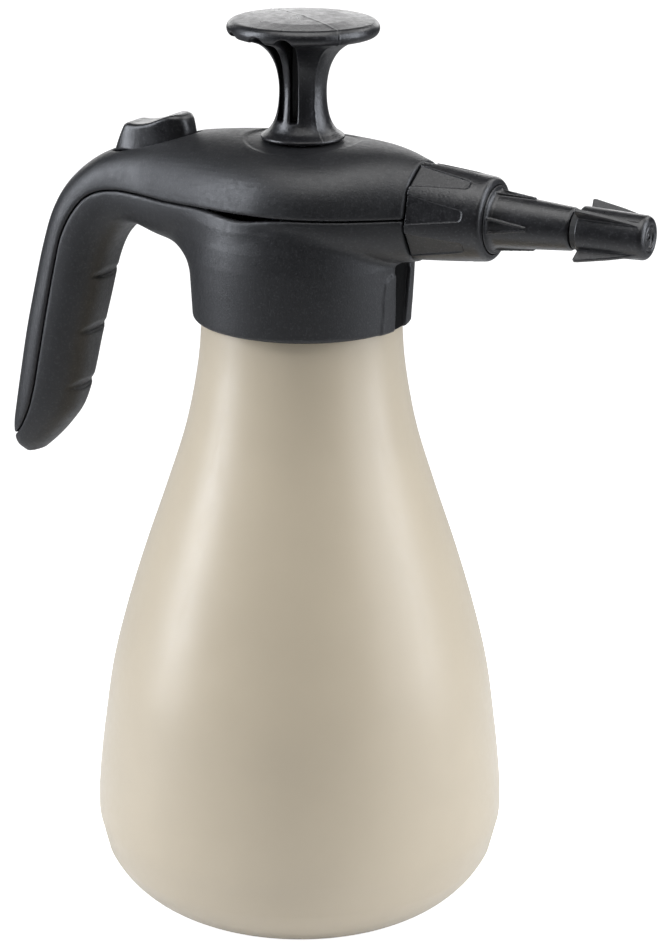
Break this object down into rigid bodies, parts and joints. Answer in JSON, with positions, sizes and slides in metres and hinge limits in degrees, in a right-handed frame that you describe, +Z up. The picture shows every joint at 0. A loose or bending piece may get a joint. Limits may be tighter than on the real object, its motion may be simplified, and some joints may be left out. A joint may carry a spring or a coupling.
{
  "type": "pump sprayer",
  "caption": "Hand-pumped pressure sprayer: a pear-shaped bottle under a screw-on head with a down-curved handle, thumb trigger, plunger knob and adjustable nozzle tip.",
  "frame": {"origin": "centre of the bottle's flat base", "axes": "+Z up along the bottle and pump axis, +X along the nozzle, handle on the -X side"},
  "size_m": [0.2197, 0.1314, 0.29],
  "materials": {
    "tank_beige": "fine satin",
    "head_charcoal": "fine matt texture",
    "moulded_black": "semi-gloss with fine texture",
    "natural_plastic": "plain moulded",
    "seal_rubber": "matt",
    "spring_steel": "drawn wire",
    "soft_hose": "smooth"
  },
  "bodies": {
    "vessel": {"tank": "tank_beige"},
    "seal_ring": {"neck_seal": "seal_rubber"},
    "head": {"lower_housing": "head_charcoal", "upper_cover": "head_charcoal", "head_screw_1": "spring_steel", "head_screw_2": "spring_steel", "head_screw_3": "spring_steel", "pump_cylinder": "natural_plastic", "cylinder_cap": "moulded_black", "trigger_pin": "spring_steel", "valve_body": "natural_plastic", "valve_seal": "seal_rubber", "valve_spring": "spring_steel", "dip_tube": "natural_plastic", "intake_filter": "natural_plastic", "feed_hose": "soft_hose", "outlet_fitting": "moulded_black", "relief_body": "natural_plastic", "relief_cap": "natural_plastic", "relief_spring": "spring_steel"},
    "plunger": {"piston": "natural_plastic", "piston_seal": "seal_rubber"},
    "pump_handle": {"pump_rod": "natural_plastic", "pump_knob": "moulded_black"},
    "inlet_valve": {"foot_valve": "seal_rubber"},
    "trigger": {"thumb_trigger": "moulded_black"},
    "stem": {"valve_stem": "moulded_black"},
    "lance": {"lance_tube": "moulded_black", "lance_gasket": "seal_rubber", "swirl_core": "natural_plastic"},
    "nut": {"nozzle_nut": "moulded_black"},
    "tip_ring": {"tip_seal": "seal_rubber"},
    "tip": {"nozzle_tip": "moulded_black"},
    "relief": {"relief_pin": "moulded_black"}
  },
  "joints": [
    {"name": "head_rise", "type": "slide", "parent": "vessel", "child": "seal_ring", "axis": [0, 0, 1], "range_m": [0, 0.006]},
    {"name": "head_turn", "type": "hinge", "parent": "seal_ring", "child": "head", "pos_m": [0, 0, 0.2], "axis": [0, 0, 1], "range_deg": [0, 540]},
    {"name": "pump_stroke", "type": "slide", "parent": "head", "child": "plunger", "axis": [0, 0, 1], "range_m": [0, 0.068]},
    {"name": "pump_turn", "type": "hinge", "parent": "plunger", "child": "pump_handle", "pos_m": [0, 0, 0.1505], "axis": [0, 0, 1], "continuous": true},
    {"name": "foot_valve_lift", "type": "slide", "parent": "head", "child": "inlet_valve", "axis": [0, 0, -1], "range_m": [0, 0.0012], "stiffness_N_per_m": 60},
    {"name": "trigger_press", "type": "hinge", "parent": "head", "child": "trigger", "pos_m": [-0.0395, 0, 0.245], "axis": [0, -1, 0], "range_deg": [0, 12], "stiffness_Nm_per_rad": 0.5},
    {"name": "valve_open", "type": "slide", "parent": "head", "child": "stem", "axis": [0, 0, -1], "range_m": [0, 0.0035], "deforming": ["valve_spring"]},
    {"name": "lance_travel", "type": "slide", "parent": "head", "child": "lance", "axis": [1, 0, 0], "range_m": [0, 0.004]},
    {"name": "nut_turn", "type": "hinge", "parent": "lance", "child": "nut", "pos_m": [0.042, 0, 0.2334], "axis": [1, 0, 0], "range_deg": [0, 720]},
    {"name": "tip_travel", "type": "slide", "parent": "lance", "child": "tip_ring", "axis": [1, 0, 0], "range_m": [0, 0.003]},
    {"name": "tip_turn", "type": "hinge", "parent": "tip_ring", "child": "tip", "pos_m": [0.0936, 0, 0.2334], "axis": [1, 0, 0], "range_deg": [0, 540]},
    {"name": "relief_pull", "type": "slide", "parent": "head", "child": "relief", "axis": [0, 1, 0], "range_m": [0, 0.003], "stiffness_N_per_m": 800}
  ],
  "couplings": [
    {"joint": "head_rise", "follows": "head_turn", "m_per_rad": 0.00063662},
    {"joint": "lance_travel", "follows": "nut_turn", "m_per_rad": 0.00031831},
    {"joint": "tip_travel", "follows": "tip_turn", "m_per_rad": 0.00031831},
    {"joint": "valve_open", "follows": "trigger_press", "m_per_rad": 0.0165}
  ]
}
